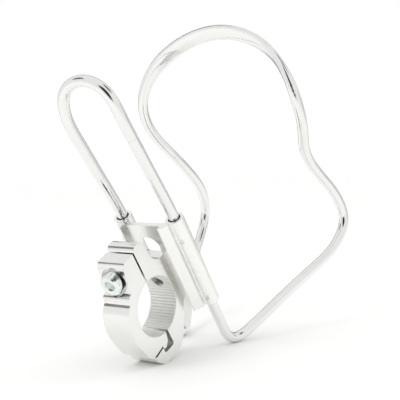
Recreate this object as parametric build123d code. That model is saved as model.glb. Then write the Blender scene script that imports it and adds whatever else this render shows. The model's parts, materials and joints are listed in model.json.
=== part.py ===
from build123d import *
import math
import os

os.makedirs("parts", exist_ok=True)

# Handlebar water bottle cage.  Everything is drawn in the bracket frame, in millimetres:
# the handlebar bore is centred on the origin and runs along X, Y goes forward to the bottle,
# Z goes up along the bracket.  Each finished piece is then leaned back about the bore by LEAN,
# so that the clamp foot and the two lower wire bends stand on one level.
LEAN = 30.0

# ---- handlebar clamp ----
BORE_R = 11.1            # 22.2 mm handlebar
CLAMP_W = 12.0           # width of both clamp halves along the bar
TOOTH_COUNT = 30         # serrations in each half of the bore
TOOTH_DEPTH = 0.32
PARTING_SADDLE = 1.0     # Y of the saddle's parting face
PARTING_JAW = 0.2        # Y of the jaw's parting face, a 0.8 mm gap at the lugs
PAD_Y = 15.4             # face of the saddle that lies on the bracket
HOOK_Y, HOOK_Z = -4.9, -14.9   # centre of the jaw's round nose, about which the jaw rocks
HOOK_R = 1.1

# ---- clamp bolt, M5 x 14 socket head ----
BOLT_Z = 18.0
BOLT_SEAT_Y = -5.7       # floor of the counterbore
BOLT_HEAD_D, BOLT_HEAD_H = 8.5, 5.0
BOLT_D, BOLT_LEN = 4.9, 14.0
BOLT_KEY = 4.0           # across the flats of the hexagon socket
BOLT_KEY_DEPTH = 2.6
HEAD_CHAMFER, TIP_CHAMFER = 0.45, 0.5
COUNTERBORE_D = 10.6
JAW_HOLE_D = 6.1         # room for the jaw to rock about its hook
TAPPED_D = 5.1
JAW_FRONT_Y = -20.0      # in front of the whole jaw, where its bores start

# ---- bracket: one extruded profile with two tube sockets ----
BRACKET_BOTTOM, BRACKET_TOP = -14.2, 24.8
WEB_T = 1.8
WEB_FRONT = PAD_Y + WEB_T
RAIL_X, RAIL_Y = 12.05, 20.5   # axes of the two sockets
SOCKET_D, SOCKET_BORE = 6.9, 4.9
CREST_X, CREST_Y = 9.0, 13.4   # crest of the ridge beside the clamp
CREST_W = 0.5                  # flat on top of the crest
EDGE_X, EDGE_Y = 11.6, 16.3    # lower edge of the ridge's slanted flank
EDGE_T = 1.6                   # thickness of the flank at that edge
GROOVE_R = 0.75                # round groove between the flank and the socket
HOLE_Z, HOLE_D = 15.0, 8.8

# ---- crimps: punch marks that hold the wires in the sockets ----
CRIMP_Z = (16.2, -10.6)
CRIMP_TURN = -71.0             # direction of a mark from the socket's axis, in the XY plane
PUNCH_D, PUNCH_DEPTH = 2.7, 0.55
POINT_R, POINT_DEPTH = 0.75, 0.9
BUMP_R, BUMP_OUT = 0.62, 2.6   # metal pushed in against the wire

# ---- bracket screw, M5 button head from the bottle side ----
SCREW_Z = 2.0
SCREW_D, SCREW_TIP_Y = 4.9, 12.7
SCREW_HEAD_D, SCREW_HEAD_H = 9.5, 2.75
SCREW_TAPPED_D = 5.0
SCREW_RIM_H = 0.4              # straight rim of the button head
SCREW_SHOULDER = (1.9, 3.8)    # height and radius half way up the dome
SCREW_FLAT_R = 2.2             # flat round the key
SCREW_KEY, SCREW_KEY_DEPTH = 3.0, 1.6
WEB_SCREW_HOLE_D = 5.5

# ---- bent wire ----
WIRE_D = 4.0
STRAP_W, STRAP_T = 6.5, 2.6    # flattened front of the big loop
STRAP_SECTIONS = 12
STRAP_BLEND = 0.45             # part of each side of the strap over which it flattens
SOCKET_OVERLAP = 1.0           # straight wire below the socket's mouth before the first bend

# Back rail: stations of the wire's centre on the right-hand side, foot to crown.
RAIL_FOOT_Z = 6.0
RAIL_STATIONS = [
    (12.1, 20.3, 30.0), (12.3, 19.0, 44.0), (12.5, 17.5, 61.0), (12.4, 17.0, 70.0),
    (9.3, 18.3, 79.9), (0.0, 19.2, 84.0),
]

# Front loop: stations of the wire's centre on the right-hand side, heel to shoulder to apex.
LOOP_END_Z = 3.0               # end of the wire inside the socket
LOOP_HEEL_Z = -30.5            # where the wire leaves the line of the socket
LOOP_STATIONS = [
    (12.9, 23.6, -36.9), (15.4, 30.0, -38.0), (19.5, 39.0, -36.8), (29.0, 61.0, -34.3),
    (34.9, 81.5, -32.0), (35.3, 88.0, -27.9), (34.5, 90.2, -21.5), (32.5, 87.0, -5.5),
    (33.4, 80.8, 12.0), (37.2, 79.3, 25.0), (37.0, 81.4, 36.5),
]
STRAP_STATIONS = [(32.4, 86.6, 45.5), (21.8, 93.7, 53.0), (0.0, 98.0, 57.8)]


def outline(start, *legs):
    """Closed face in the YZ plane; a leg is an end point, or a (mid, end) pair for an arc."""
    edges, here = [], start
    for leg in legs:
        if isinstance(leg[0], tuple):
            edges.append(ThreePointArc(here, leg[0], leg[1]))
            here = leg[1]
        else:
            edges.append(Line(here, leg))
            here = leg
    if math.dist(here, start) > 1e-6:
        edges.append(Line(here, start))
    return Plane.YZ * make_face(edges)


def polar(radius, degrees):
    """Point at a radius and an angle about the origin."""
    a = math.radians(degrees)
    return (radius * math.cos(a), radius * math.sin(a))


def serrated_arc(from_deg, to_deg):
    """Legs of a bore wall with round lands at BORE_R and V grooves between them."""
    step = (to_deg - from_deg) / TOOTH_COUNT
    legs = []
    for i in range(TOOTH_COUNT):
        a = from_deg + i * step
        legs.append((polar(BORE_R, a + 0.29 * step), polar(BORE_R, a + 0.58 * step)))
        if i < TOOTH_COUNT - 1:
            legs.append(polar(BORE_R + TOOTH_DEPTH, a + 0.79 * step))
            legs.append(polar(BORE_R, a + step))
        else:
            legs.append((polar(BORE_R, a + 0.79 * step), polar(BORE_R, a + step)))
    return legs


def rod_along_y(diameter, y0, y1, z):
    """Cylinder from y0 to y1 on the mid plane at height z."""
    disc = Plane(origin=(0, y0, z), z_dir=(0, 1, 0)) * Circle(diameter / 2)
    return extrude(disc, amount=y1 - y0)


def hex_socket(y_face, depth, across_flats, z, inward):
    """Hexagonal pocket cut from y_face, going in along +Y or -Y."""
    plane = Plane(origin=(0, y_face, z), z_dir=(0, inward, 0))
    return extrude(plane * RegularPolygon(across_flats / math.sqrt(3), 6), amount=depth)


def clamp_saddle():
    """Half of the clamp that is screwed to the bracket and reaches under the jaw's nose."""
    top = math.degrees(math.acos(PARTING_SADDLE / BORE_R))
    bottom = -math.degrees(math.acos(-0.4 / BORE_R))
    bore = serrated_arc(bottom, top)
    face = outline(
        polar(BORE_R, bottom), *bore,
        (PARTING_SADDLE, 24.2), ((1.8, 25.3), (3.7, 25.75)),
        ((6.1, 24.9), (7.3, 22.4)),
        (7.3, 18.8),
        ((8.94, 14.84), (12.9, 13.2)),
        (PAD_Y, 13.2), (PAD_Y, -8.0), (13.1, -8.9),
        ((10.9, -12.6), (8.0, -16.6)),
        ((4.5, -20.6), (-0.4, -22.1)),
        (-7.2, -21.2), ((-8.6, -20.6), (-9.6, -19.5)),
        (-11.35, -17.3), (-11.4, -16.0),
        ((-11.15, -15.35), (-10.5, -15.15)),
        (-6.1, -14.95), (-6.3, -16.9), (-5.4, -17.5), (-0.9, -18.0), (-0.4, -17.4),
    )
    body = extrude(face, amount=CLAMP_W / 2, both=True)
    body -= rod_along_y(TAPPED_D, PARTING_SADDLE - 1, 7.3 + 1, BOLT_Z)
    body -= rod_along_y(SCREW_TAPPED_D, BORE_R - 1.5, PAD_Y + 1, SCREW_Z)
    return body


def clamp_jaw():
    """Half of the clamp that the bolt pulls shut; its nose is hooked in the saddle's foot."""
    top = math.degrees(math.acos(PARTING_JAW / BORE_R))
    bottom = 360 - math.degrees(math.acos(-1.6 / BORE_R))
    bore = serrated_arc(top, bottom)
    nose = [(HOOK_Y + y, HOOK_Z + z) for y, z in
            (polar(HOOK_R, -45), polar(HOOK_R, -112.5), polar(HOOK_R, 180))]
    face = outline(
        polar(BORE_R, top), *bore,
        (-2.6, -14.5), nose[0], (nose[1], nose[2]),
        (-6.0, -14.2), (-11.7, -14.4), (-14.2, -12.0), (-15.8, -6.0),
        ((-16.25, -2.7), (-16.4, 0.6)),
        ((-15.4, 5.4), (-12.1, 9.9)),
        (-11.1, 10.3), (-10.7, 11.2), (-11.1, 11.8),
        ((-10.4, 12.7), (-9.3, 13.1)),
        (-8.4, 13.3), (-6.9, 22.5), (-6.2, 23.5),
        ((-5.5, 24.35), (-4.3, 24.6)),
        (PARTING_JAW, 24.3),
    )
    body = extrude(face, amount=CLAMP_W / 2, both=True)
    body -= rod_along_y(COUNTERBORE_D, JAW_FRONT_Y, BOLT_SEAT_Y, BOLT_Z)
    body -= rod_along_y(JAW_HOLE_D, JAW_FRONT_Y, PARTING_JAW + 1, BOLT_Z)
    return body


def clamp_bolt():
    """Socket head bolt that pulls the jaw to the saddle."""
    head_top = BOLT_SEAT_Y - BOLT_HEAD_H
    head = rod_along_y(BOLT_HEAD_D, head_top, BOLT_SEAT_Y, BOLT_Z)
    head = chamfer(head.edges().filter_by(GeomType.CIRCLE).sort_by(Axis.Y)[0], HEAD_CHAMFER)
    shank = rod_along_y(BOLT_D, BOLT_SEAT_Y, BOLT_SEAT_Y + BOLT_LEN, BOLT_Z)
    shank = chamfer(shank.edges().filter_by(GeomType.CIRCLE).sort_by(Axis.Y)[-1], TIP_CHAMFER)
    return head + shank - hex_socket(head_top, BOLT_KEY_DEPTH, BOLT_KEY, BOLT_Z, 1)


def bracket_screw():
    """Button head screw that holds the saddle to the bracket from the bottle's side."""
    head_top = WEB_FRONT + SCREW_HEAD_H
    rim, shoulder = WEB_FRONT + SCREW_RIM_H, WEB_FRONT + SCREW_SHOULDER[0]
    dome = outline(
        (WEB_FRONT, 0), (WEB_FRONT, SCREW_HEAD_D / 2), (rim, SCREW_HEAD_D / 2),
        ((shoulder, SCREW_SHOULDER[1]), (head_top, SCREW_FLAT_R)), (head_top, 0))
    head = Pos(0, 0, SCREW_Z) * revolve(dome, Axis.Y)
    shank = rod_along_y(SCREW_D, SCREW_TIP_Y, WEB_FRONT, SCREW_Z)
    shank = chamfer(shank.edges().filter_by(GeomType.CIRCLE).sort_by(Axis.Y)[0], TIP_CHAMFER)
    return head + shank - hex_socket(head_top, SCREW_KEY_DEPTH, SCREW_KEY, SCREW_Z, -1)


def crimp(side, z):
    """Punch mark on one socket: the metal that it takes away outside and pushes in inside."""
    turn = CRIMP_TURN if side > 0 else 180 - CRIMP_TURN
    mark = Pos(side * RAIL_X, RAIL_Y, z) * Rot(0, 0, turn)
    surface = SOCKET_D / 2
    punch = Pos(surface - PUNCH_DEPTH + 1, 0, 0) * Rot(0, 90, 0) * Cylinder(PUNCH_D / 2, 2)
    point = Pos(surface - POINT_DEPTH + POINT_R, 0, 0) * Sphere(POINT_R)
    bump = Pos(BUMP_OUT, 0, 0) * Sphere(BUMP_R)
    return mark * (punch + point), mark * bump


def bracket():
    """Extruded profile: a web, two ridges that flank the clamp and two sockets for the wires."""
    half = [
        (0, PAD_Y), (CREST_X - CREST_W, PAD_Y), (CREST_X - CREST_W, CREST_Y), (CREST_X, CREST_Y),
        (EDGE_X, EDGE_Y), (EDGE_X, EDGE_Y + EDGE_T), (RAIL_X, RAIL_Y), (CREST_X, WEB_FRONT), (0, WEB_FRONT),
    ]
    right = make_face(Polyline(*half, close=True))
    profile = right + mirror(right, Plane.YZ)
    for side in (1, -1):
        profile += Pos(side * RAIL_X, RAIL_Y) * Circle(SOCKET_D / 2)
    for side in (1, -1):
        profile -= Pos(side * RAIL_X, RAIL_Y) * Circle(SOCKET_BORE / 2)
        profile -= Pos(side * (EDGE_X + GROOVE_R), EDGE_Y + GROOVE_R) * Circle(GROOVE_R)
    body = extrude(Plane.XY.offset(BRACKET_BOTTOM) * profile, amount=BRACKET_TOP - BRACKET_BOTTOM)
    for z in CRIMP_Z:
        for side in (1, -1):
            mark, bump = crimp(side, z)
            body = body + bump - mark
    body -= rod_along_y(HOLE_D, PAD_Y - 1, WEB_FRONT + 1, HOLE_Z)
    body -= rod_along_y(WEB_SCREW_HOLE_D, PAD_Y - 1, WEB_FRONT + 1, SCREW_Z)
    return body


def mirrored(stations):
    """The same stations on the left-hand side, in the opposite order."""
    return [(-x, y, z) for x, y, z in reversed(stations)]


def back_rail():
    """U-shaped wire behind the bottle, both feet in the sockets."""
    rise = RAIL_STATIONS + mirrored(RAIL_STATIONS[:-1])
    foot = (RAIL_X, RAIL_Y, RAIL_FOOT_Z)
    mouth = (RAIL_X, RAIL_Y, BRACKET_TOP - SOCKET_OVERLAP)
    crown = Spline(mouth, *rise, (-mouth[0], mouth[1], mouth[2]), tangents=[(0, 0, 1), (0, 0, -1)],
                   tangent_scalars=(1, 1))
    section = Plane(origin=foot, z_dir=(0, 0, 1)) * Circle(WIRE_D / 2)
    leg = extrude(section, amount=mouth[2] - foot[2])
    arch = sweep(Plane(origin=mouth, z_dir=(0, 0, 1)) * Circle(WIRE_D / 2), path=crown)
    return leg + arch + mirror(leg, Plane.YZ)


def front_loop():
    """Wire that carries the bottle from below and hugs it with a flattened strap."""
    heel = (RAIL_X, RAIL_Y, LOOP_HEEL_Z)
    section = Plane(origin=(RAIL_X, RAIL_Y, LOOP_END_Z), z_dir=(0, 0, -1)) * Circle(WIRE_D / 2)
    leg = extrude(section, amount=LOOP_END_Z - LOOP_HEEL_Z)
    half = [heel] + LOOP_STATIONS + STRAP_STATIONS
    path = Spline(*half, *mirrored(half[:-1]), tangents=[(0, 0, -1), (0, 0, 1)],
                  tangent_scalars=(1, 1))
    seam = path.param_at_point(Vector(*LOOP_STATIONS[-1]))
    arm = sweep(Plane(origin=heel, z_dir=(0, 0, -1)) * Circle(WIRE_D / 2), path=path.trim(0, seam))
    sections = []
    for i in range(STRAP_SECTIONS + 1):
        t = i / STRAP_SECTIONS
        u = seam + (0.5 - seam) * t
        at, along = path @ u, (path % u).normalized()
        flat = min(1.0, t / STRAP_BLEND)
        flat = flat * flat * (3 - 2 * flat)
        up = (Vector(0, 0, 1) - along * along.Z).normalized()
        plane = Plane(origin=at, x_dir=up, z_dir=along)
        wide = WIRE_D / 2 + flat * (STRAP_W - WIRE_D) / 2
        thin = WIRE_D / 2 + flat * (STRAP_T - WIRE_D) / 2
        sections.append(plane * Ellipse(wide, thin))
    strap = loft(sections)
    right = leg + arm + strap
    return right + mirror(right, Plane.YZ)


PIECES = {
    "bracket": bracket,
    "back_rail": back_rail,
    "front_loop": front_loop,
    "clamp_saddle": clamp_saddle,
    "clamp_jaw": clamp_jaw,
    "clamp_bolt": clamp_bolt,
    "bracket_screw": bracket_screw,
}

for name, make in PIECES.items():
    solid = Rot(LEAN, 0, 0) * make()
    export_step(solid, f"parts/{name}.step")
    print(name, "solids", len(solid.solids()), "volume", round(solid.volume, 1))
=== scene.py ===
"""Looks for the handlebar water bottle cage, laid out as an add-on and run as a script."""

import json
import math

import bmesh
import bpy
import numpy as np
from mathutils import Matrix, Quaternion, Vector


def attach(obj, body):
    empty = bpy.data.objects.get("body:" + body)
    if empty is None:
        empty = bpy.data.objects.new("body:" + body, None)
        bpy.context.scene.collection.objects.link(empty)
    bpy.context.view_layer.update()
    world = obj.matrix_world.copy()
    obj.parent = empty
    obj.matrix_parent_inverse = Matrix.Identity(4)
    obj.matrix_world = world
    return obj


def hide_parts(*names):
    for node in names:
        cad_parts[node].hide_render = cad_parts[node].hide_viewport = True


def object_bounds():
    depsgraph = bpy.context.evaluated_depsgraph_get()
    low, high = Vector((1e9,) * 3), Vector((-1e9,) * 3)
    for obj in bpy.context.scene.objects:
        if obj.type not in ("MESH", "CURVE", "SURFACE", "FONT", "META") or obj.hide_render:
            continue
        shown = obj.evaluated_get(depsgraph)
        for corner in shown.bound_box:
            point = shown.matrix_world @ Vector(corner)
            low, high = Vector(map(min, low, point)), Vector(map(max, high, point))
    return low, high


bl_info = {
    "name": "Handlebar Bottle Cage",
    "version": (1, 0, 0),
    "blender": (4, 5, 0),
    "location": "View3D > Sidebar > Bottle Cage",
    "description": "Finishes the pieces of a handlebar water bottle cage and sets its stage",
    "category": "Object",
}

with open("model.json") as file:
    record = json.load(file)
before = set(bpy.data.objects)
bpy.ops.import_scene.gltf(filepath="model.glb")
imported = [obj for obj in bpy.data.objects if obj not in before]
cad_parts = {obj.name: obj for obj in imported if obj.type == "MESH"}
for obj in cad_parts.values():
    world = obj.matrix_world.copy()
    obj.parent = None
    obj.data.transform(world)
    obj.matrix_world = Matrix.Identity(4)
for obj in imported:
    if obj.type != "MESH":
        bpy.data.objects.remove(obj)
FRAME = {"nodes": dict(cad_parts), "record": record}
CAD_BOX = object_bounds()
MM = 0.001

JOINTS = {joint["name"]: joint for joint in FRAME["record"]["behaviour"]["joints"]}
FORWARD = -np.array(JOINTS["bolt_slide"]["axis"])   # from the handlebar to the bottle
BAR_R = FRAME["record"]["mounts"][0]["dims"]["r_mm"] * MM

AROUND = 72              # points round a turned piece, a whole number for each side of a hexagon
LOOPS_PER_PITCH = 12
THREAD_SLOPE = 1.4       # steepness of a thread's flanks, in depths for each half pitch
THREAD_ROOT = 0.15       # part of the thread's height that its flat root cuts off
TIP_SLOPE = 0.9          # fall of the tip's chamfer for each unit of length
DOME_LOOPS = 12
SLEEVE_LOOPS = 36
SLEEVE_GAP = 0.01 * MM   # between the threaded sleeve and the hole that it lines
SLEEVE_WALL = 0.02 * MM
SLEEVE_INSET = 0.12 * MM # how far the sleeve's mouth stays inside the bore
WELD = 1e-7              # points nearer than this are one point
EDGE_ROUND = 0.10 * MM   # how far the light sees an edge as rounded
SERRATION_DEPTH = 0.32 * MM
DULL_ROUGHNESS = 0.55
DULL_EDGE = 0.05 * MM    # over which the broached finish gives way to the polished one
SHARP_ANGLE = 32         # degrees between two faces beyond which their edge is drawn sharp


# ---------------------------------------------------------------- sizes

class CageFinishSettings(bpy.types.PropertyGroup):
    """Colours and roughness of the cage's metals"""

    wire_colour: bpy.props.FloatVectorProperty(
        name="Wire colour", description="Reflected colour of the polished wire",
        subtype="COLOR", size=3, min=0, max=1, default=(0.87, 0.87, 0.86))
    wire_roughness: bpy.props.FloatProperty(
        name="Wire roughness", description="Blur of the reflections in the wire",
        min=0, max=1, default=0.11)
    bracket_colour: bpy.props.FloatVectorProperty(
        name="Bracket colour", description="Reflected colour of the extruded bracket",
        subtype="COLOR", size=3, min=0, max=1, default=(0.92, 0.92, 0.90))
    bracket_roughness: bpy.props.FloatProperty(
        name="Bracket roughness", description="Blur of the reflections in the bracket",
        min=0, max=1, default=0.30)
    clamp_colour: bpy.props.FloatVectorProperty(
        name="Clamp colour", description="Reflected colour of the two clamp halves",
        subtype="COLOR", size=3, min=0, max=1, default=(0.87, 0.87, 0.85))
    clamp_roughness: bpy.props.FloatProperty(
        name="Clamp roughness", description="Blur of the reflections in the clamp",
        min=0, max=1, default=0.20)
    # Painted shade: the thread's colour is darker than the clamp's so that the tapped hole reads as sitting
    # in shadow.
    shaded_thread_colour: bpy.props.FloatVectorProperty(
        name="Thread colour", description="Reflected colour deep in the saddle's shadowed thread",
        subtype="COLOR", size=3, min=0, max=1, default=(0.55, 0.56, 0.52))
    steel_colour: bpy.props.FloatVectorProperty(
        name="Bolt colour", description="Reflected colour of the plated bolts",
        subtype="COLOR", size=3, min=0, max=1, default=(0.85, 0.89, 0.875))
    steel_roughness: bpy.props.FloatProperty(
        name="Bolt roughness", description="Blur of the reflections in the bolts",
        min=0, max=1, default=0.07)


class CageBoltSettings(bpy.types.PropertyGroup):
    """Sizes of the clamp bolt and the bracket screw"""

    pitch: bpy.props.FloatProperty(
        name="Thread pitch", description="Distance from one thread crest to the next",
        subtype="DISTANCE", unit="LENGTH", default=0.8 * MM)
    thread_depth: bpy.props.FloatProperty(
        name="Thread depth", description="Height of the thread from root to crest",
        subtype="DISTANCE", unit="LENGTH", default=0.42 * MM)
    shank_diameter: bpy.props.FloatProperty(
        name="Shank diameter", description="Across the crests of the thread",
        subtype="DISTANCE", unit="LENGTH", default=4.9 * MM)
    bolt_head: bpy.props.FloatVectorProperty(
        name="Bolt head", description="Diameter and height of the clamp bolt's head",
        subtype="XYZ_LENGTH", unit="LENGTH", size=2, default=(8.5 * MM, 5.0 * MM))
    bolt_key: bpy.props.FloatVectorProperty(
        name="Bolt key", description="Across the flats and depth of the clamp bolt's socket",
        subtype="XYZ_LENGTH", unit="LENGTH", size=2, default=(4.0 * MM, 2.6 * MM))
    screw_head: bpy.props.FloatVectorProperty(
        name="Screw head", description="Diameter and height of the bracket screw's head",
        subtype="XYZ_LENGTH", unit="LENGTH", size=2, default=(9.5 * MM, 2.75 * MM))
    screw_key: bpy.props.FloatVectorProperty(
        name="Screw key", description="Across the flats and depth of the bracket screw's socket",
        subtype="XYZ_LENGTH", unit="LENGTH", size=2, default=(3.0 * MM, 1.6 * MM))
    tapped_diameter: bpy.props.FloatProperty(
        name="Tapped hole", description="Hole in the saddle that takes the bracket screw",
        subtype="DISTANCE", unit="LENGTH", default=5.0 * MM)


class CageStageSettings(bpy.types.PropertyGroup):
    """Camera, floor and lights"""

    azimuth: bpy.props.FloatProperty(
        name="Azimuth", description="Turn of the camera about the vertical, from straight behind",
        subtype="ANGLE", unit="ROTATION", default=math.radians(36.1))
    elevation: bpy.props.FloatProperty(
        name="Elevation", description="Height of the camera above the horizon",
        subtype="ANGLE", unit="ROTATION", default=math.radians(6.6))
    roll: bpy.props.FloatProperty(
        name="Roll", description="Turn of the camera about its own line of sight",
        subtype="ANGLE", unit="ROTATION", default=math.radians(-3.3))
    distance: bpy.props.FloatProperty(
        name="Distance", description="From the camera to the point it looks at",
        subtype="DISTANCE", unit="LENGTH", default=0.3857)
    target: bpy.props.FloatVectorProperty(
        name="Target", description="Point that the camera looks at",
        subtype="TRANSLATION", size=3, default=(0.0040, 0.0328, 0.0346))
    lens: bpy.props.FloatProperty(
        name="Lens", description="Focal length in millimetres on a 36 mm sensor",
        min=10, max=300, default=90)
    floor_colour: bpy.props.FloatVectorProperty(
        name="Floor colour", description="Colour of the seamless floor",
        subtype="COLOR", size=3, min=0, max=1, default=(0.93, 0.93, 0.915))
    floor_reach: bpy.props.FloatProperty(
        name="Floor reach", description="From the middle of the floor to its edge",
        subtype="DISTANCE", unit="LENGTH", default=1.5)
    floor_fade: bpy.props.FloatVectorProperty(
        name="Floor fade", description="Distances at which the floor starts to thin out and has gone",
        subtype="TRANSLATION", size=2, default=(0.12, 0.9))
    room_light: bpy.props.FloatProperty(
        name="Room light", description="Brightness of the white room around the cage",
        min=0, max=5, default=1.12)


# Grey cards in the room: label, direction from the cage, cosines of edge and middle, light left.
GREY_CARDS = (
    ("Dark wall behind", (0.43, -0.86, 0.27), 0.87, 0.95, 0.03),
    ("High right flag", (0.55, 0.15, 0.82), 0.945, 0.98, 0.15),
    ("High left flag", (-0.66, -0.48, 0.58), 0.96, 0.985, 0.20),
    ("Far left wall", (-0.58, 0.80, -0.05), 0.72, 0.94, 0.22),
    ("Far right wall", (0.57, 0.82, 0.02), 0.93, 0.985, 0.65),
)


# ---------------------------------------------------------------- shapes

def surface_object(name, points, quads, caps=()):
    """Mesh object from points in metres, four-cornered faces and whole-ring end caps."""
    mesh = bpy.data.meshes.new(name)
    mesh.from_pydata(points.tolist(), [], quads.tolist() + [cap.tolist() for cap in caps])
    mesh.validate()
    mesh.polygons.foreach_set("use_smooth", np.ones(len(mesh.polygons), dtype=bool))
    mesh.set_sharp_from_angle(angle=math.radians(SHARP_ANGLE))
    mesh.update()
    piece = bpy.data.objects.new(name, mesh)
    bpy.context.scene.collection.objects.link(piece)
    return piece


def loops_to_quads(rows, columns):
    """Quads between neighbouring closed loops: loop i point j, i point j+1, i+1 point j+1, i+1 point j."""
    i, j = np.meshgrid(np.arange(rows - 1), np.arange(columns), indexing="ij")
    nxt = (j + 1) % columns
    corners = [i * columns + j, i * columns + nxt, (i + 1) * columns + nxt, (i + 1) * columns + j]
    quads = np.stack(corners, -1)
    return quads.reshape(-1, 4)


def axis_frame(axis):
    """Two unit vectors square to a unit axis that lies in the YZ plane: +X, and axis cross +X."""
    across = np.array([1.0, 0.0, 0.0])
    return across, np.cross(axis, across)


def turned_points(centre, axis, along, radius):
    """Points of a turned surface: centre + along * axis + radius * (cos(turn) * u + sin(turn) * v).

    along and radius are (loops, around) arrays; turn runs once round each loop.
    """
    u, v = axis_frame(axis)
    turn = np.linspace(0, 2 * np.pi, radius.shape[1], endpoint=False)
    spoke = np.cos(turn)[:, None] * u + np.sin(turn)[:, None] * v
    return (centre + along[..., None] * axis + radius[..., None] * spoke).reshape(-1, 3)


def turned_object(name, centre, axis, along, radius):
    """Closed turned piece: loops along the axis with a flat cap on the first and the last."""
    loops, around = radius.shape
    ring = np.arange(around)
    points = turned_points(centre, axis, along, radius)
    return surface_object(name, points, loops_to_quads(loops, around),
                          caps=[ring[::-1], ring + (loops - 1) * around])


def hexagon(across_flats):
    """Radius of a hexagon round the turn: half the flats over the cosine of the turn from a flat's middle."""
    turn = np.linspace(0, 2 * np.pi, AROUND, endpoint=False)
    return across_flats / 2 / np.cos((turn % (np.pi / 3)) - np.pi / 6)


def plain(radius):
    """Loop of one radius all round."""
    return np.full(AROUND, radius)


def thread_wave(along, pitch):
    """Height of a right-hand thread from 0 to 1: a clipped triangle wave of along / pitch less the turn."""
    turn = np.linspace(0, 1, AROUND, endpoint=False)
    phase = (along / pitch - turn) % 1.0
    return np.clip(THREAD_SLOPE * (1 - np.abs(2 * phase - 1)) - THREAD_ROOT, 0, 1)


def threaded_shank(start, end, bolts):
    """Loops of a threaded shank: root radius plus depth times the wave, run out at the head and the tip.

    The tip's chamfer caps the radius at the root plus the tip slope times the distance left.
    """
    count = int((end - start) / bolts.pitch * LOOPS_PER_PITCH)
    along = np.repeat(np.linspace(start, end, count)[:, None], AROUND, axis=1)
    root = bolts.shank_diameter / 2 - bolts.thread_depth
    run_out = np.clip((along - start) / bolts.pitch, 0, 1)
    radius = root + bolts.thread_depth * (thread_wave(along, bolts.pitch) * run_out + 1 - run_out)
    return along, np.minimum(radius, root + np.maximum(end - along, 0) * TIP_SLOPE)


def stack_loops(head, shank):
    """Joins a head's loops, given as (along, radius) pairs, to a shank's arrays."""
    along = np.array([np.full(AROUND, at) for at, _ in head])
    radius = np.array([loop for _, loop in head])
    return np.vstack([along, shank[0]]), np.vstack([radius, shank[1]])


def axis_span(node, axis):
    """Where a round CAD node lies along a unit axis: a point on its centre line, its start and its end.

    Each vertex is split into its distance along the axis and the rest; the centre line passes
    through the middle of the rest's extremes.
    """
    count = len(node.data.vertices)
    points = np.empty(count * 3)
    node.data.vertices.foreach_get("co", points)
    points = points.reshape(count, 3)
    along = points @ axis
    across = points - along[:, None] * axis
    middle = (across.min(0) + across.max(0)) / 2
    return middle, along.min(), along.max()


def merge_doubles(piece):
    """Welds the points of a piece that lie on one another."""
    shape = bmesh.new()
    shape.from_mesh(piece.data)
    bmesh.ops.remove_doubles(shape, verts=shape.verts, dist=WELD)
    shape.to_mesh(piece.data)
    shape.free()


def finish_metal(node, material):
    """Puts one material on a CAD node."""
    node.data.materials.clear()
    node.data.materials.append(material)


# ---------------------------------------------------------------- materials

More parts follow.
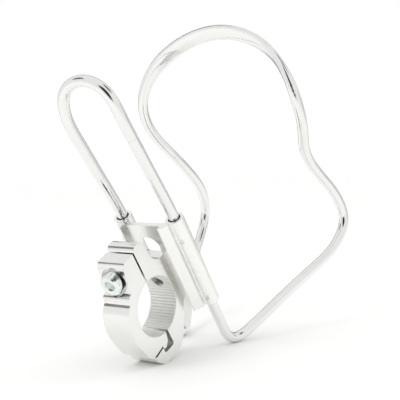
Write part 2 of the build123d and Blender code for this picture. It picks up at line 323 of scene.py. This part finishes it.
def metal_material(name, colour, roughness, grain_scale, grain_height, cloud_scale, dull_radius=0):
    """Bright metal: Principled at full metallic, with a slow cloud in its gloss and a fine grain bump.

    The metal is duller closer than dull_radius to the handlebar's axis, where it was broached.
    """
    material = bpy.data.materials.new(name)
    material.use_nodes = True
    nodes, links = material.node_tree.nodes, material.node_tree.links
    nodes.clear()

    place = nodes.new("ShaderNodeTexCoord")
    place.label = "Place on the piece"
    place.location = (-1100, 0)

    cloud = nodes.new("ShaderNodeTexNoise")
    cloud.label = "Slow cloud of handling and polish"
    cloud.location = (-850, 150)
    cloud.inputs["Scale"].default_value = cloud_scale
    cloud.inputs["Detail"].default_value = 3

    gloss = nodes.new("ShaderNodeMapRange")
    gloss.label = "Cloud to roughness"
    gloss.location = (-600, 150)
    gloss.inputs["From Min"].default_value = 0.3
    gloss.inputs["From Max"].default_value = 0.7
    gloss.inputs["To Min"].default_value = roughness * 0.82
    gloss.inputs["To Max"].default_value = roughness * 1.2

    across = nodes.new("ShaderNodeVectorMath")
    across.label = "Drop the distance along the bar"
    across.operation = "MULTIPLY"
    across.location = (-850, 450)
    across.inputs[1].default_value = (0, 1, 1)

    reach = nodes.new("ShaderNodeVectorMath")
    reach.label = "Distance from the bar's axis"
    reach.operation = "LENGTH"
    reach.location = (-650, 450)

    broached = nodes.new("ShaderNodeMapRange")
    broached.label = "Dull inside the bore"
    broached.location = (-450, 450)
    broached.inputs["From Min"].default_value = dull_radius
    broached.inputs["From Max"].default_value = dull_radius + DULL_EDGE
    broached.inputs["To Min"].default_value = DULL_ROUGHNESS
    broached.inputs["To Max"].default_value = 0

    rougher = nodes.new("ShaderNodeMath")
    rougher.label = "Rougher of the two"
    rougher.operation = "MAXIMUM"
    rougher.location = (-430, 200)

    grain = nodes.new("ShaderNodeTexNoise")
    grain.label = "Fine tumbled grain"
    grain.location = (-850, -200)
    grain.inputs["Scale"].default_value = grain_scale
    grain.inputs["Detail"].default_value = 4

    edge = nodes.new("ShaderNodeBevel")
    edge.label = "Rubbed edges"
    edge.samples = 6
    edge.location = (-850, -450)
    edge.inputs["Radius"].default_value = EDGE_ROUND

    relief = nodes.new("ShaderNodeBump")
    relief.label = "Grain height"
    relief.location = (-600, -200)
    relief.inputs["Strength"].default_value = 0.35
    relief.inputs["Distance"].default_value = grain_height

    gloss_frame = nodes.new("NodeFrame")
    gloss_frame.label = "Gloss"
    for node in (cloud, gloss, across, reach, broached, rougher):
        node.parent = gloss_frame
    relief_frame = nodes.new("NodeFrame")
    relief_frame.label = "Grain and edges"
    grain.parent = relief_frame
    edge.parent = relief_frame
    relief.parent = relief_frame

    shader = nodes.new("ShaderNodeBsdfPrincipled")
    shader.label = "Bright metal"
    shader.location = (-300, 0)
    shader.inputs["Base Color"].default_value = (*colour, 1)
    shader.inputs["Metallic"].default_value = 1.0

    out = nodes.new("ShaderNodeOutputMaterial")
    out.label = "Surface"
    out.location = (0, 0)

    links.new(place.outputs["Object"], cloud.inputs["Vector"])
    links.new(place.outputs["Object"], grain.inputs["Vector"])
    links.new(cloud.outputs["Fac"], gloss.inputs["Value"])
    links.new(place.outputs["Object"], across.inputs[0])
    links.new(across.outputs["Vector"], reach.inputs[0])
    links.new(reach.outputs["Value"], broached.inputs["Value"])
    links.new(gloss.outputs["Result"], rougher.inputs[0])
    links.new(broached.outputs["Result"], rougher.inputs[1])
    links.new(rougher.outputs["Value"], shader.inputs["Roughness"])
    links.new(grain.outputs["Fac"], relief.inputs["Height"])
    links.new(edge.outputs["Normal"], relief.inputs["Normal"])
    links.new(relief.outputs["Normal"], shader.inputs["Normal"])
    links.new(shader.outputs["BSDF"], out.inputs["Surface"])
    return material


def floor_material(colour, fade):
    """Matt paper that thins out to nothing between the two fade distances from the cage."""
    material = bpy.data.materials.new("stage_paper")
    material.use_nodes = True
    nodes, links = material.node_tree.nodes, material.node_tree.links
    nodes.clear()

    place = nodes.new("ShaderNodeTexCoord")
    place.label = "Place on the floor"
    place.location = (-900, 0)
    away = nodes.new("ShaderNodeVectorMath")
    away.label = "Distance from the cage"
    away.operation = "LENGTH"
    away.location = (-700, 0)
    thin = nodes.new("ShaderNodeMapRange")
    thin.label = "Thins out"
    thin.interpolation_type = "SMOOTHSTEP"
    thin.location = (-500, 0)
    thin.inputs["From Min"].default_value = fade[0]
    thin.inputs["From Max"].default_value = fade[1]
    fade_frame = nodes.new("NodeFrame")
    fade_frame.label = "Fade"
    for node in (away, thin):
        node.parent = fade_frame
    paper = nodes.new("ShaderNodeBsdfDiffuse")
    paper.label = "Matt paper"
    paper.location = (-300, -100)
    paper.inputs["Color"].default_value = (*colour, 1)
    clear = nodes.new("ShaderNodeBsdfTransparent")
    clear.label = "Backdrop shows through"
    clear.location = (-300, -250)
    pick = nodes.new("ShaderNodeMixShader")
    pick.label = "Paper or backdrop"
    pick.location = (-50, 0)
    out = nodes.new("ShaderNodeOutputMaterial")
    out.label = "Surface"
    out.location = (150, 0)

    links.new(place.outputs["Object"], away.inputs[0])
    links.new(away.outputs["Value"], thin.inputs["Value"])
    links.new(thin.outputs["Result"], pick.inputs["Fac"])
    links.new(paper.outputs["BSDF"], pick.inputs[1])
    links.new(clear.outputs["BSDF"], pick.inputs[2])
    links.new(pick.outputs["Shader"], out.inputs["Surface"])
    return material


# ---------------------------------------------------------------- operators

class CAGE_OT_wires(bpy.types.Operator):
    """Polishes the back rail and the front loop"""
    bl_idname = "cage.wires"
    bl_label = "Finish wires"

    def execute(self, context):
        look = context.scene.cage_finish
        wire = metal_material("polished_wire", look.wire_colour, look.wire_roughness, 900, 0.00001, 60)
        for node in ("back_rail", "front_loop"):
            finish_metal(FRAME["nodes"][node], wire)
        return {"FINISHED"}


class CAGE_OT_bracket(bpy.types.Operator):
    """Finishes the extruded bracket"""
    bl_idname = "cage.bracket"
    bl_label = "Finish bracket"

    def execute(self, context):
        look = context.scene.cage_finish
        extrusion = metal_material(
            "bracket_extrusion", look.bracket_colour, look.bracket_roughness, 1400, 0.00001, 90)
        finish_metal(FRAME["nodes"]["bracket"], extrusion)
        return {"FINISHED"}


class CAGE_OT_clamp(bpy.types.Operator):
    """Finishes both halves of the handlebar clamp"""
    bl_idname = "cage.clamp"
    bl_label = "Finish clamp"

    def execute(self, context):
        look = context.scene.cage_finish
        tumbled = metal_material(
            "tumbled_clamp", look.clamp_colour, look.clamp_roughness, 1400, 0.00001, 80,
            dull_radius=BAR_R + SERRATION_DEPTH)
        for node in ("clamp_saddle", "clamp_jaw"):
            finish_metal(FRAME["nodes"][node], tumbled)
        return {"FINISHED"}


class CAGE_OT_bolts(bpy.types.Operator):
    """Turns the clamp bolt and the bracket screw, with their threads"""
    bl_idname = "cage.bolts"
    bl_label = "Turn bolts"

    def execute(self, context):
        look = context.scene.cage_finish
        bolts = context.scene.cage_bolts
        plated = metal_material(
            "plated_bolt", look.steel_colour, look.steel_roughness, 1200, 0.00001, 200)
        self.turn("socket_bolt", "clamp_bolt", "bolt", FORWARD, self.socket_head, plated, bolts)
        self.turn("button_screw", "bracket_screw", "mount", -FORWARD, self.button_head, plated, bolts)
        # Painted shade: the thread takes the darker thread colour to stand in for the shadow deep in the
        # tapped hole.
        thread = metal_material("painted_shade_thread", look.shaded_thread_colour, look.clamp_roughness, 1400, 0.00003, 80)
        self.tap_saddle(bolts, thread)
        return {"FINISHED"}

    def turn(self, name, node, body, to_tip, head, material, bolts):
        """One bolt from its head's top to its tip, in the place of its CAD node."""
        centre, top, tip = axis_span(FRAME["nodes"][node], to_tip)
        loops, seat = head(top, bolts)
        along, radius = stack_loops(loops, threaded_shank(seat, tip, bolts))
        piece = turned_object(name, centre, to_tip, along, radius)
        piece.data.materials.append(material)
        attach(piece, body)
        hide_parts(node)

    def socket_head(self, top, bolts):
        """Loops of a cylinder head: up the hexagon socket, over the chamfered rim and down the side."""
        diameter, height = bolts.bolt_head
        flats, depth = bolts.bolt_key
        rim, lip, seat = diameter / 2, 0.2 * MM, top + height
        return [
            (top + depth, hexagon(flats)), (top + lip, hexagon(flats)),
            (top, plain(flats / math.sqrt(3) + lip)), (top, plain(rim - 2 * lip)),
            (top + 2 * lip, plain(rim)), (seat - lip, plain(rim)), (seat, plain(rim - lip)),
            (seat, plain(bolts.shank_diameter / 2)),
        ], seat

    def button_head(self, top, bolts):
        """Loops of a domed head from its hexagon socket to its seat.

        The dome's radius is the rim's times the square root of 1 - (level / rise) squared, an
        ellipse whose height is rise and which the flat round the key cuts off.
        """
        diameter, height = bolts.screw_head
        flats, depth = bolts.screw_key
        rim, lip, seat = diameter / 2, 0.1 * MM, top + height
        straight, rise = 0.4 * MM, 2.65 * MM
        loops = [(top + depth, hexagon(flats)), (top + lip, hexagon(flats)),
                 (top, plain(flats / math.sqrt(3) + lip))]
        for share in np.linspace(0, 1, DOME_LOOPS):
            level = (height - straight) * (1 - share)
            loops.append((seat - straight - level, plain(rim * math.sqrt(1 - (level / rise) ** 2))))
        loops += [(seat, plain(rim)), (seat, plain(bolts.shank_diameter / 2))]
        return loops, seat

    def tap_saddle(self, bolts, material):
        """Thread in the saddle's hole, from the handlebar bore to the screw's tip.

        The sleeve's mouth follows the bore: its distance forward is the square root of the bore
        radius squared less the height squared. Its wall runs back outside and closes on itself.
        """
        centre, _, tip = axis_span(FRAME["nodes"]["bracket_screw"], -FORWARD)
        end = -tip
        _, up = axis_frame(FORWARD)
        wall = bolts.tapped_diameter / 2 - SLEEVE_GAP
        turn = np.linspace(0, 2 * np.pi, AROUND, endpoint=False)
        height = centre @ up + wall * np.sin(turn)
        mouth = np.sqrt(BAR_R ** 2 - height ** 2) + SLEEVE_INSET
        share = np.linspace(0, 1, SLEEVE_LOOPS)[:, None]
        along = mouth + (end - mouth) * share
        ridge = bolts.thread_depth * thread_wave(along, bolts.pitch)
        inner = wall - SLEEVE_WALL - ridge
        outer = np.stack([plain(wall), plain(wall), inner[0]])
        along = np.vstack([along, along[-1], along[0], along[0]])
        radius = np.vstack([inner, outer])
        piece = surface_object("saddle_thread", turned_points(centre, FORWARD, along, radius),
                               loops_to_quads(len(radius), AROUND)[:, ::-1])
        merge_doubles(piece)
        piece.data.materials.append(material)
        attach(piece, "mount")


class CAGE_OT_stage(bpy.types.Operator):
    """Sets the floor, the lights, the surroundings and the camera"""
    bl_idname = "cage.stage"
    bl_label = "Set stage"

    def execute(self, context):
        stage = context.scene.cage_stage
        low = np.array(CAD_BOX).reshape(2, 3)[0]
        self.add_floor(stage, low[2])
        self.add_lights()
        self.add_surroundings(context, stage)
        self.add_camera(context, stage)
        context.scene.view_settings.view_transform = "Standard"
        return {"FINISHED"}

    def add_floor(self, stage, height):
        """A flat round sheet of rings about the origin, at the height the cage stands on.

        Ring i has radius reach * (i / rings) ** 2, so that the rings are closest under the cage.
        """
        rings, around = 12, 96
        radius = stage.floor_reach * (np.arange(1, rings + 1) / rings) ** 2
        turn = np.linspace(0, 2 * np.pi, around, endpoint=False)
        ring_x = radius[:, None] * np.cos(turn)
        ring_y = radius[:, None] * np.sin(turn)
        points = np.stack([ring_x, ring_y, np.full_like(ring_x, height)], -1).reshape(-1, 3)
        floor = surface_object("stage_floor", points, loops_to_quads(rings, around)[:, ::-1],
                               caps=[np.arange(around)])
        floor.data.materials.append(floor_material(stage.floor_colour, stage.floor_fade))

    def add_lights(self):
        """Square softboxes: name, place in metres, side in metres, power in watts."""
        for name, place, size, watts in (
            ("key_softbox", (-0.30, -0.70, 0.75), 0.45, 2.0),
            ("rim_softbox", (0.55, 0.65, 0.60), 0.35, 0.5),
        ):
            lamp = bpy.data.lights.new(name, "AREA")
            lamp.shape = "SQUARE"
            lamp.size = size
            lamp.energy = watts
            holder = bpy.data.objects.new(name, lamp)
            holder.location = place
            holder.rotation_euler = (-Vector(place)).to_track_quat("-Z", "Y").to_euler()
            holder.visible_glossy = False
            bpy.context.scene.collection.objects.link(holder)

    def add_surroundings(self, context, stage):
        """A white room whose metal reflections carry soft grey cards, behind a plain white backdrop.

        A card darkens the room where the direction's dot product with the card's own direction
        rises from its edge value to its middle value.
        """
        world = bpy.data.worlds.new("white_room")
        context.scene.world = world
        world.use_nodes = True
        nodes, links = world.node_tree.nodes, world.node_tree.links
        nodes.clear()
        facing = nodes.new("ShaderNodeTexCoord")
        facing.label = "Direction in the room"
        facing.location = (-1300, 0)
        light = nodes.new("ShaderNodeValue")
        light.label = "White room"
        light.location = (-900, 400)
        light.outputs["Value"].default_value = stage.room_light
        level = light.outputs["Value"]
        cards_frame = nodes.new("NodeFrame")
        cards_frame.label = "Grey cards"
        for row, (label, direction, edge, middle, left) in enumerate(GREY_CARDS):
            towards = nodes.new("ShaderNodeVectorMath")
            towards.label = label + ": how squarely it is faced"
            towards.operation = "DOT_PRODUCT"
            towards.location = (-1050, -220 * row)
            towards.inputs[1].default_value = Vector(direction).normalized()
            soft = nodes.new("ShaderNodeMapRange")
            soft.label = label + ": soft edge"
            soft.interpolation_type = "SMOOTHSTEP"
            soft.location = (-850, -220 * row)
            soft.inputs["From Min"].default_value = edge
            soft.inputs["From Max"].default_value = middle
            soft.inputs["To Min"].default_value = 1
            soft.inputs["To Max"].default_value = left
            dim = nodes.new("ShaderNodeMath")
            dim.label = label + ": light left"
            dim.operation = "MULTIPLY"
            dim.location = (-650 + 60 * row, -220 * row)
            for node in (towards, soft, dim):
                node.parent = cards_frame
            links.new(facing.outputs["Generated"], towards.inputs[0])
            links.new(towards.outputs["Value"], soft.inputs["Value"])
            links.new(level, dim.inputs[0])
            links.new(soft.outputs["Result"], dim.inputs[1])
            level = dim.outputs["Value"]
        room = nodes.new("ShaderNodeBackground")
        room.label = "What the metal reflects"
        room.location = (-200, -100)
        backdrop = nodes.new("ShaderNodeBackground")
        backdrop.label = "Plain white backdrop"
        backdrop.location = (-200, 100)
        backdrop.inputs["Color"].default_value = (1, 1, 1, 1)
        mirrored = nodes.new("ShaderNodeLightPath")
        mirrored.label = "Seen in a reflection"
        mirrored.location = (-200, 500)
        pick = nodes.new("ShaderNodeMixShader")
        pick.label = "Backdrop or room"
        pick.location = (50, 0)
        out = nodes.new("ShaderNodeOutputWorld")
        out.label = "Surroundings"
        out.location = (250, 0)
        links.new(level, room.inputs["Strength"])
        links.new(mirrored.outputs["Is Glossy Ray"], pick.inputs["Fac"])
        links.new(backdrop.outputs["Background"], pick.inputs[1])
        links.new(room.outputs["Background"], pick.inputs[2])
        links.new(pick.outputs["Shader"], out.inputs["Surface"])

    def add_camera(self, context, stage):
        """Camera at its distance from the target, looking along azimuth and elevation, then rolled."""
        ahead = Vector((
            -math.sin(stage.azimuth) * math.cos(stage.elevation),
            math.cos(stage.azimuth) * math.cos(stage.elevation),
            -math.sin(stage.elevation)))
        lens = bpy.data.cameras.new("stage_camera")
        lens.lens = stage.lens
        lens.sensor_width = 36
        lens.clip_start = 0.01
        camera = bpy.data.objects.new("stage_camera", lens)
        camera.location = Vector(stage.target) - ahead * stage.distance
        turn = ahead.to_track_quat("-Z", "Y") @ Quaternion((0, 0, 1), stage.roll)
        camera.rotation_euler = turn.to_euler()
        context.scene.collection.objects.link(camera)
        context.scene.camera = camera


class CAGE_PT_panel(bpy.types.Panel):
    """Lists the cage's pieces and its stage"""
    bl_idname = "CAGE_PT_panel"
    bl_label = "Bottle Cage"
    bl_space_type = "VIEW_3D"
    bl_region_type = "UI"
    bl_category = "Bottle Cage"

    def draw(self, context):
        for operator in OPERATORS:
            self.layout.operator(operator.bl_idname)


SETTINGS = (CageFinishSettings, CageBoltSettings, CageStageSettings)
OPERATORS = (CAGE_OT_wires, CAGE_OT_bracket, CAGE_OT_clamp, CAGE_OT_bolts, CAGE_OT_stage)
CLASSES = SETTINGS + OPERATORS + (CAGE_PT_panel,)


def register():
    """Adds the classes and their settings to the scene."""
    for cls in CLASSES:
        bpy.utils.register_class(cls)
    bpy.types.Scene.cage_finish = bpy.props.PointerProperty(type=CageFinishSettings)
    bpy.types.Scene.cage_bolts = bpy.props.PointerProperty(type=CageBoltSettings)
    bpy.types.Scene.cage_stage = bpy.props.PointerProperty(type=CageStageSettings)


def unregister():
    """Takes the settings and the classes away again."""
    del bpy.types.Scene.cage_stage
    del bpy.types.Scene.cage_bolts
    del bpy.types.Scene.cage_finish
    for cls in reversed(CLASSES):
        bpy.utils.unregister_class(cls)


def main():
    """Finishes every piece and sets the stage."""
    register()
    for call in (bpy.ops.cage.wires, bpy.ops.cage.bracket, bpy.ops.cage.clamp, bpy.ops.cage.bolts,
                 bpy.ops.cage.stage):
        call()


if __name__ == "__main__":
    main()
